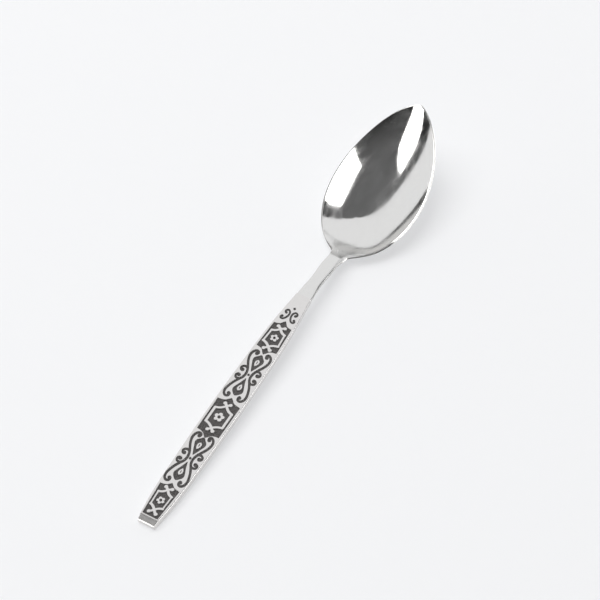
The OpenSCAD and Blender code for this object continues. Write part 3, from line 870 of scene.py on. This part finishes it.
handle_edges = [handle_edge(1, -1), handle_edge(-1, 0)]
print("handle is widest with", round(2 * float(handle_edges[0][..., 1].max()), 2), "mm")

# %% [markdown]
# ## The handle's skin
# Top, under side and edges are numbered one after the other and joined along their shared borders, as on the
# bowl. Two flat caps close the skin: a low one under the rounded front of the end, and one at the join with
# the neck.

# %% Handle skin
h_parts = [handle_grid, handle_under] + handle_edges
h_counts = [part.shape[0] * part.shape[1] for part in h_parts]
h_starts = [sum(h_counts[:k]) for k in range(len(h_parts))]
h_top, h_under, h_left, h_right = [np.arange(count).reshape(part.shape[:2]) + start
                                   for part, count, start in zip(h_parts, h_counts, h_starts)]
left_side = np.concatenate([h_top[:, [-1]], h_left, h_under[:, [-1]]], 1)
right_side = np.concatenate([h_top[:, [0]], h_right, h_under[:, [0]]], 1)
handle_points = np.concatenate([part.reshape(-1, 3) for part in h_parts])
handle_quads = np.concatenate([grid_faces(h_top), grid_faces(h_under)[:, ::-1],
                               grid_faces(left_side), grid_faces(right_side)[:, ::-1]])


def handle_section(row):
    """The closed ring of point numbers round the handle at one row."""
    return np.concatenate([h_top[row], h_left[row], h_under[row][::-1], h_right[row][::-1]])


handle_bar = make_piece("handle_bar", handle_points, handle_quads,
                        [handle_section(0), handle_section(h_rows - 1)[::-1]],
                        point_normals(handle_points, handle_quads))

# %% [markdown]
# ## Dark layers
# After striking, the whole handle is darkened and the raised parts are polished bright again, so a thin dark
# coat stays in the recesses. A dark colour painted by height would do from afar. The coat is built as a thin
# shell of its own, because the construction has it as pieces and because its edge then creeps up the wall
# like the real one. Its sides are sunk in the steel, so that only its top shows.

# %% Coat shells
COAT_THICKNESS, COAT_ROOT, COAT_REACH = 0.03, 0.05, 0.16
coat_edge = (-0.13, -0.03)


def coat(name, distance):
    """A closed shell over the grid cells that reach into one motif's recess."""
    inside = distance > -COAT_REACH
    cells = inside[:-1, :-1] | inside[1:, :-1] | inside[:-1, 1:] | inside[1:, 1:]
    rise = -COAT_THICKNESS + 2 * COAT_THICKNESS * ease(distance, *coat_edge)
    upper = np.stack([hs, hv, steel_z + rise], -1).reshape(-1, 3)
    lower = np.stack([hs, hv, steel_z - COAT_ROOT], -1).reshape(-1, 3)
    quads = grid_faces(h_top).reshape(cells.shape + (4,))[cells]
    sides = np.concatenate([quads[:, [k, (k + 1) % 4]] for k in range(4)])
    known = set(map(tuple, sides.tolist()))
    rim = np.array([e for e in sides.tolist() if (e[1], e[0]) not in known])
    count = len(upper)
    walls = np.stack([rim[:, 1], rim[:, 0], rim[:, 0] + count, rim[:, 1] + count], -1)
    return make_piece(name, np.concatenate([upper, lower]),
                      np.concatenate([quads, quads[:, ::-1] + count, walls]))


coats = {node: coat(node.replace("_black", "_coat"), distance)
         for node, distance in recess_distance.items()}
print(len(coats), "coats")

# %% [markdown]
# ## Building with nodes
# A material is a graph of small steps. The shader editor shows them as boxes and wires, and a script names
# each box and each wire. A few helpers keep that readable: one fills the sockets of a node from numbers or
# from other nodes, and the others make the kinds of node that come back often.

# %% Node helpers
def feed(tree, node, values):
    """Fill a node's sockets, each from a plain value or from another node's output."""
    for label, value in values.items():
        if isinstance(value, bpy.types.NodeSocket):
            tree.links.new(value, node.inputs[label])
        else:
            node.inputs[label].default_value = value


def add(tree, kind, values=None, **settings):
    """A new node with its settings made and its sockets filled."""
    node = tree.nodes.new(kind)
    for label, value in settings.items():
        setattr(node, label, value)
    feed(tree, node, values or {})
    return node


def worked_out(tree, operation, *values):
    """The result of a sum, a product or the like."""
    return add(tree, "ShaderNodeMath", dict(enumerate(values)), operation=operation).outputs[0]


def ranged(tree, value, source, target=(0.0, 1.0)):
    """A value taken from one range to another and held between its ends."""
    ends = dict(zip(("From Min", "From Max", "To Min", "To Max"), source + target))
    return add(tree, "ShaderNodeMapRange", {"Value": value, **ends}).outputs[0]


def noise(tree, place, scale, detail, **more):
    """Soft random spots, scale of them to the metre."""
    values = {"Vector": place, "Scale": scale, "Detail": detail, **more}
    return add(tree, "ShaderNodeTexNoise", values).outputs["Fac"]


def piece_place(tree):
    """The place on the spoon, in metres."""
    return add(tree, "ShaderNodeTexCoord").outputs["Object"]


print("helpers for nodes:", [tool.__name__ for tool in (feed, add, worked_out, ranged, noise, piece_place)])

# %% [markdown]
# ## Hairlines and smudges
# A used spoon carries hairline scratches, which lie along it because that is how it is rubbed dry, and
# smudges that the cloth leaves in slanting streaks. Both steel finishes show them, so they are one node
# group. The scratches are noise squeezed into lines, kept only where broader streaks call the steel worn.

# %% Hairline group
WIPE_TURN, WIPE_STRETCH, STREAKS_PER_METRE = (0, 0, 0.25), (0.25, 1.0, 1.0), 260.0
line_range, worn_range = (0.6, 0.75), (0.4, 0.65)


def new_group(name, inputs, outputs):
    """A shader node group with number inputs and named outputs, and its two end nodes."""
    group = bpy.data.node_groups.new(name, "ShaderNodeTree")
    for label, value in inputs.items():
        socket = group.interface.new_socket(name=label, in_out="INPUT", socket_type="NodeSocketFloat")
        socket.default_value = value
    for label in outputs:
        group.interface.new_socket(name=label, in_out="OUTPUT", socket_type="NodeSocketFloat")
    return group, group.nodes.new("NodeGroupInput").outputs, group.nodes.new("NodeGroupOutput")


def scratch_group():
    """Scratch: how strong a hairline is. Haze: how smudged the steel is."""
    settings = {"Fineness": 9000.0, "Stretch": 0.02, "Share": 0.35}
    group, given, result = new_group("hairline_scratches", settings, ["Scratch", "Haze"])
    place = piece_place(group)
    parts = add(group, "ShaderNodeSeparateXYZ", {"Vector": place}).outputs
    along = worked_out(group, "MULTIPLY", parts["X"], given["Stretch"])
    squeezed = add(group, "ShaderNodeCombineXYZ", {"X": along, "Y": parts["Y"], "Z": parts["Z"]}).outputs[0]
    lines = ranged(group, noise(group, squeezed, given["Fineness"], 3.0, Roughness=0.6), line_range)
    wiped = add(group, "ShaderNodeMapping", {"Vector": place, "Rotation": WIPE_TURN, "Scale": WIPE_STRETCH})
    streaks = noise(group, wiped.outputs[0], STREAKS_PER_METRE, 9.0, Roughness=0.68, Distortion=0.6)
    worn = ranged(group, streaks, worn_range)
    scratch = worked_out(group, "MULTIPLY", worked_out(group, "MULTIPLY", lines, worn), given["Share"])
    feed(group, result, {"Scratch": scratch, "Haze": worn})
    return group


scratches = scratch_group()
print("group:", scratches.name, "with", len(scratches.nodes), "nodes")

# %% [markdown]
# ## Grain
# Under a lens no metal is even: it has a fine grain and soft, wider patches where the sheet was rolled. The
# dark layer has a coarser grain, from the sunk ground of the die. One group serves for all with other values.

# %% Grain group
PATCHES_PER_METRE = 700.0


def grain_group():
    """Grain: an even fine grain. Patches: softer, wider spots."""
    settings = {"Fineness": 5000.0, "Patchiness": 0.5}
    group, given, result = new_group("fine_grain", settings, ["Grain", "Patches"])
    place = piece_place(group)
    fine = noise(group, place, given["Fineness"], 4.0)
    wide = noise(group, place, PATCHES_PER_METRE, 2.0)
    feed(group, result, {"Grain": fine, "Patches": worked_out(group, "MULTIPLY", wide, given["Patchiness"])})
    return group


grain = grain_group()
print("group:", grain.name, "with", len(grain.nodes), "nodes")

# %% [markdown]
# ## Steel
# Polished steel is a metal with a light warm grey colour and almost no roughness. The wheel doesn't reach
# every place alike, so the roughness follows rows along the spoon: duller in the bend of the heel and on the
# turned end. The smudges are a faint rough coat over the metal, which lifts the dark reflections a little,
# and very low waves keep the flat steel from looking like glass.

# %% Steel finishes
STEEL_COLOUR = (0.74, 0.735, 0.72, 1)
WARM_STEEL_COLOUR = (0.735, 0.72, 0.705, 1)
PATCH_TONE, SMUDGES, SMUDGE_ROUGHNESS = 0.94, 0.9, 0.45
WAVE_HEIGHT, GRAIN_HEIGHT = 0.012 * MM, 0.02 * MM
polished_rows = [(88, 0.12), (103, 0.13), (106, 0.18), (110, 0.16), (114, 0.07)]
struck_rows = [(0, 0.28), (1.7, 0.28), (2.3, 0.13), (6, 0.11), (86, 0.12)]


def new_material(name):
    """A material, its node tree and its Principled shader."""
    material = bpy.data.materials.new(name)
    material.use_nodes = True
    return material, material.node_tree, material.node_tree.nodes["Principled BSDF"]


def toned(colour, tone):
    """A colour made lighter or darker."""
    return tuple(tone * c for c in colour[:3]) + (1,)


def roughness_along(tree, rows):
    """Roughness that follows rows of (station, roughness)."""
    first, last = rows[0][0], rows[-1][0]
    lengthwise = add(tree, "ShaderNodeSeparateXYZ", {"Vector": piece_place(tree)}).outputs["X"]
    along = ranged(tree, lengthwise, ((first - half_length) * MM, (last - half_length) * MM))
    ramp = add(tree, "ShaderNodeValToRGB", {"Fac": along})
    ramp.color_ramp.interpolation = "EASE"
    for k, (station, roughness) in enumerate(rows):
        at = (station - first) / (last - first)
        stop = ramp.color_ramp.elements[k] if k < 2 else ramp.color_ramp.elements.new(at)
        stop.position = at
        stop.color = (roughness, roughness, roughness, 1)
    return ramp.outputs["Color"]


def steel(name, colour, rows, haze, scratch_share, grain_share):
    """A steel finish: rows of roughness, with haze, scratches, smudges, waves and grain over it."""
    material, tree, shader = new_material(name)
    lines = add(tree, "ShaderNodeGroup", {"Share": scratch_share}, node_tree=scratches).outputs
    fine = add(tree, "ShaderNodeGroup", node_tree=grain).outputs
    hazy = worked_out(tree, "MULTIPLY_ADD", lines["Haze"], haze, roughness_along(tree, rows))
    tone = add(tree, "ShaderNodeMix", {"Factor": fine["Patches"], "A": colour,
                                       "B": toned(colour, PATCH_TONE)}, data_type="RGBA")
    waves = add(tree, "ShaderNodeBump", {"Height": fine["Patches"], "Strength": 1.0,
                                         "Distance": WAVE_HEIGHT})
    bumps = add(tree, "ShaderNodeBump", {"Height": fine["Grain"], "Strength": grain_share,
                                         "Distance": GRAIN_HEIGHT, "Normal": waves.outputs[0]})
    feed(tree, shader, {"Metallic": 1.0, "Coat Roughness": SMUDGE_ROUGHNESS,
                        "Coat Weight": worked_out(tree, "MULTIPLY", lines["Haze"], SMUDGES),
                        "Roughness": worked_out(tree, "ADD", hazy, lines["Scratch"]),
                        "Base Color": tone.outputs["Result"], "Normal": bumps.outputs[0]})
    return material


polished = steel("polished_steel", STEEL_COLOUR, polished_rows, haze=0.1, scratch_share=0.3, grain_share=0.02)
struck = steel("struck_steel", WARM_STEEL_COLOUR, struck_rows, haze=0.05, scratch_share=0.1, grain_share=0.05)
print("finishes:", polished.name, struck.name)

# %% [markdown]
# ## The dark layer's finish
# The darkened ground is dull, nearly black and pebbled. Plain black would look like a hole, so the grain
# varies both its tone and its height, which lets a little light catch on it.

# %% Dark finish
DARK_COLOUR = (0.074, 0.07, 0.068, 1)
PEBBLES_PER_METRE, PEBBLE_HEIGHT = 3500.0, 0.06 * MM
pebble_range, darkest_tone, lightest_tone = (0.3, 0.7), 0.4, 1.7


def dark_layer(name):
    """The dull dark coat, mottled and pebbled by the die's sunk ground."""
    material, tree, shader = new_material(name)
    pebbles = add(tree, "ShaderNodeGroup", {"Fineness": PEBBLES_PER_METRE}, node_tree=grain).outputs["Grain"]
    colour = add(tree, "ShaderNodeMix", {"Factor": ranged(tree, pebbles, pebble_range),
                                         "A": toned(DARK_COLOUR, darkest_tone),
                                         "B": toned(DARK_COLOUR, lightest_tone)}, data_type="RGBA")
    bumps = add(tree, "ShaderNodeBump", {"Height": pebbles, "Strength": 0.5, "Distance": PEBBLE_HEIGHT})
    feed(tree, shader, {"Roughness": 0.6, "Specular IOR Level": 0.25, "Base Color": colour.outputs["Result"],
                        "Normal": bumps.outputs[0]})
    return material


darkened = dark_layer("dark_recess")
print("finish:", darkened.name)

# %% [markdown]
# ## Dressing the frame
# Each skin now stands for its solid of the construction, which is hidden, moves with the one rigid body of
# the spoon and takes the finish made above.

# %% Skins on the frame
skins = [(bowl_shell, "bowl", "polished_steel", polished), (neck_bar, "neck", "polished_steel", polished),
         (handle_bar, "handle", "struck_steel", struck)]
skins += [(coats[node], node, "dark_recess", darkened) for node in coats]
for piece, node, slot_name, material in skins:
    piece.data.materials.append(material)
    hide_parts(node)
    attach(piece, "root")
print(len(skins), "skins stand for", len(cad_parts), "solids")

# %% [markdown]
# ## The table
# The spoon lies on a plain white table. It is a wide disc, so that its edge stays far away from every view.
# Lit by the room alone it would darken towards the dark hood. So the camera and the mirror of the steel see
# it partly as an even pale tone, while it keeps the spoon's soft shadow.

# %% Table
TABLE_RADIUS, TABLE_SIDES, TABLE_GAP, TABLE_EVENNESS = 8.0, 96, 0.02 * MM, 0.6
TABLE_COLOUR, EVEN_COLOUR = (0.9, 0.905, 0.91, 1), (0.875, 0.88, 0.895, 1)
bpy.ops.mesh.primitive_circle_add(vertices=TABLE_SIDES, radius=TABLE_RADIUS, fill_type="NGON",
                                  location=(0, 0, -TABLE_GAP))
table = bpy.context.object
table.name = "table"
table_material, tree, table_shader = new_material("white_table")
feed(tree, table_shader, {"Base Color": TABLE_COLOUR, "Roughness": 0.7, "Specular IOR Level": 0.2})
ray = add(tree, "ShaderNodeLightPath").outputs
seen = worked_out(tree, "MAXIMUM", ray["Is Camera Ray"], ray["Is Glossy Ray"])
seen = worked_out(tree, "MAXIMUM", seen, ray["Is Transmission Ray"])
share = worked_out(tree, "MULTIPLY", seen, TABLE_EVENNESS)
even = add(tree, "ShaderNodeEmission", {"Color": EVEN_COLOUR, "Strength": 1.0})
table_look = add(tree, "ShaderNodeMixShader", {0: share, 1: table_shader.outputs[0], 2: even.outputs[0]})
feed(tree, tree.nodes["Material Output"], {"Surface": table_look.outputs[0]})
table.data.materials.append(table_material)
print("table is", 2 * TABLE_RADIUS, "m wide")

# %% [markdown]
# ## Light
# Polished metal has no look of its own: it shows the room. The photographer's room had a white backdrop
# behind the spoon, two windows, and dark space overhead and round the camera. Lamps alone would light the
# table well and leave the bowl grey. So the room is built: a white surrounding, a dark hood with its opening
# towards the backdrop, and two window panes. Directions are degrees from the camera's heading and degrees
# down from straight overhead.

# %% Room helpers
def room_direction(azimuth, zenith):
    """A unit vector, azimuth turning right from the camera's heading and zenith counted from overhead."""
    a, z = math.radians(azimuth), math.radians(zenith)
    return (ahead * math.cos(a) + beside * math.sin(a)) * math.sin(z) + overhead * math.cos(z)


def room_mesh(name, points, faces, material):
    """A part of the room, which the camera doesn't see."""
    mesh = bpy.data.meshes.new(name)
    mesh.from_pydata([tuple(p) for p in points], [], faces)
    part = bpy.data.objects.new(name, mesh)
    bpy.context.scene.collection.objects.link(part)
    part.data.materials.append(material)
    part.visible_camera = False
    return part


print("the handle's end lies towards azimuth", round(math.degrees(math.atan2(-beside.x, -ahead.x))))

# %% [markdown]
# ## The dark hood
# The dark zone in the bowl is the unlit ceiling and the wall behind the camera. The hood stands in for that
# unlit space: its dark colour is painted shade. A black card would give one flat tone. The hood is a dome
# instead, painted a little lighter overhead than near the table, and its edge is drawn by how far down it
# reaches at each azimuth, because that edge shows as the zone's outline in the bowl.

# %% Dark hood
HOOD_RADIUS, HOOD_TURNS, HOOD_RINGS = 3.0, 180, 12
hood_edge = [(-88.6, 96), (-88, 70), (-87, 59), (-85, 50), (-82, 43), (-76, 36), (-65, 30), (-50, 25),
             (-29, 22), (-3, 21), (25, 22), (51, 31), (66, 46), (71, 66), (73, 96)]
# Painted shade of the unlit room: the hood's colour runs from darkest near the table to lighter overhead
hood_heights, hood_shade_tones = (0.8, 2.8), (0.04, 0.3)

hood_points = [overhead * HOOD_RADIUS]
hood_faces = []
for i in range(HOOD_TURNS):
    azimuth = -180 + 360 * i / HOOD_TURNS
    reach = float(np.interp(azimuth, *zip(*hood_edge)))
    hood_points += [room_direction(azimuth, reach * (k + 1) / HOOD_RINGS) * HOOD_RADIUS
                    for k in range(HOOD_RINGS)]
    a, b = 1 + i * HOOD_RINGS, 1 + (i + 1) % HOOD_TURNS * HOOD_RINGS
    hood_faces.append((0, a, b))
    hood_faces += [(a + k, a + k + 1, b + k + 1, b + k) for k in range(HOOD_RINGS - 1)]

# Painted shade: a dark colour that stands for the unlit room, lighter with height
hood_material, tree, hood_shader = new_material("unlit_room_shade")
hood_height = add(tree, "ShaderNodeSeparateXYZ", {"Vector": piece_place(tree)}).outputs["Z"]
feed(tree, hood_shader, {"Base Color": ranged(tree, hood_height, hood_heights, hood_shade_tones), "Roughness": 1.0,
                         "Specular IOR Level": 0.0})
hood = room_mesh("dark_hood", hood_points, hood_faces, hood_material)
print(hood.name, "has", len(hood_faces), "faces")

# %% [markdown]
# ## The windows
# The two white shapes in the bowl are windows. Area lamps could stand in for them, but they are rectangles,
# and the bowl bends each window into a shape with more corners. So each pane is a fan of triangles through
# its corners' directions, bright on the side that faces the spoon.

# %% Window panes
PANE_DISTANCE, PANE_STRENGTH = 2.7, 4.0
right_pane = [(151, 37), (136, 33), (122, 31), (100, 31), (81, 34), (84, 56), (87, 88), (138, 88), (140, 61),
              (145, 48)]
left_pane = [(-96, 40), (-105, 36), (-124, 37), (-138, 42), (-143, 52), (-145, 63), (-147, 76), (-150, 92),
             (-114, 92), (-113, 83), (-107, 77), (-104, 70), (-102, 63), (-101, 54), (-100, 46)]


def pane(name, corners):
    """A bright window seen from the spoon; its back is black, so that it doesn't light the hood."""
    material, tree, shader = new_material(name)
    tree.nodes.remove(shader)
    front = worked_out(tree, "SUBTRACT", 1.0, add(tree, "ShaderNodeNewGeometry").outputs["Backfacing"])
    strength = worked_out(tree, "MULTIPLY", front, PANE_STRENGTH)
    glow = add(tree, "ShaderNodeEmission", {"Color": (1, 1, 1, 1), "Strength": strength})
    feed(tree, tree.nodes["Material Output"], {"Surface": glow.outputs[0]})
    points = [room_direction(*corner) * PANE_DISTANCE for corner in corners]
    middle = sum(points, Vector()) / len(points)
    faces = [(0, k + 1, (k + 1) % len(points) + 1) for k in range(len(points))]
    made = room_mesh(name, [middle] + points, faces, material)
    if made.data.polygons[0].normal.dot(middle) > 0:
        made.data.flip_normals()
    made.visible_diffuse = False
    return made


panes = [pane("right_window", right_pane), pane("left_window", left_pane)]
print("panes:", [made.name for made in panes])

# %% [markdown]
# ## The lamp
# The room's white surrounding lights everything softly. One large soft lamp overhead adds the faint shadow
# on the table that shows how the spoon rests. The steel doesn't mirror it, because the photographed bowl
# shows no third light.

# %% Soft lamp
LAMP_SIZE, LAMP_DISTANCE, LAMP_POWER = 1.6, 2.0, 34.0
LAMP_AZIMUTH, LAMP_ZENITH = -60, 20
lamp_data = bpy.data.lights.new("overhead_softbox", "AREA")
lamp_data.size = LAMP_SIZE
lamp_data.energy = LAMP_POWER
lamp = bpy.data.objects.new("overhead_softbox", lamp_data)
lamp_way = room_direction(LAMP_AZIMUTH, LAMP_ZENITH)
lamp.location = lamp_way * LAMP_DISTANCE
lamp.rotation_euler = lamp_way.to_track_quat("Z", "Y").to_euler()
lamp.visible_glossy = False
lamp.visible_camera = False
bpy.context.scene.collection.objects.link(lamp)
print("lamp at, m:", [round(v, 2) for v in lamp.location])

# %% [markdown]
# ## The white room
# The world is the room's white walls and backdrop, at a strength of one, at which a colour looks as it is
# written. The Standard view keeps the whites white.

# %% World
ROOM_COLOUR = (0.98, 0.985, 1.0, 1)
world = bpy.data.worlds.new("white_room")
bpy.context.scene.world = world
world.use_nodes = True
feed(world.node_tree, world.node_tree.nodes["Background"], {"Color": ROOM_COLOUR, "Strength": 1.0})
bpy.context.scene.view_settings.view_transform = "Standard"
print("view:", bpy.context.scene.view_settings.view_transform)
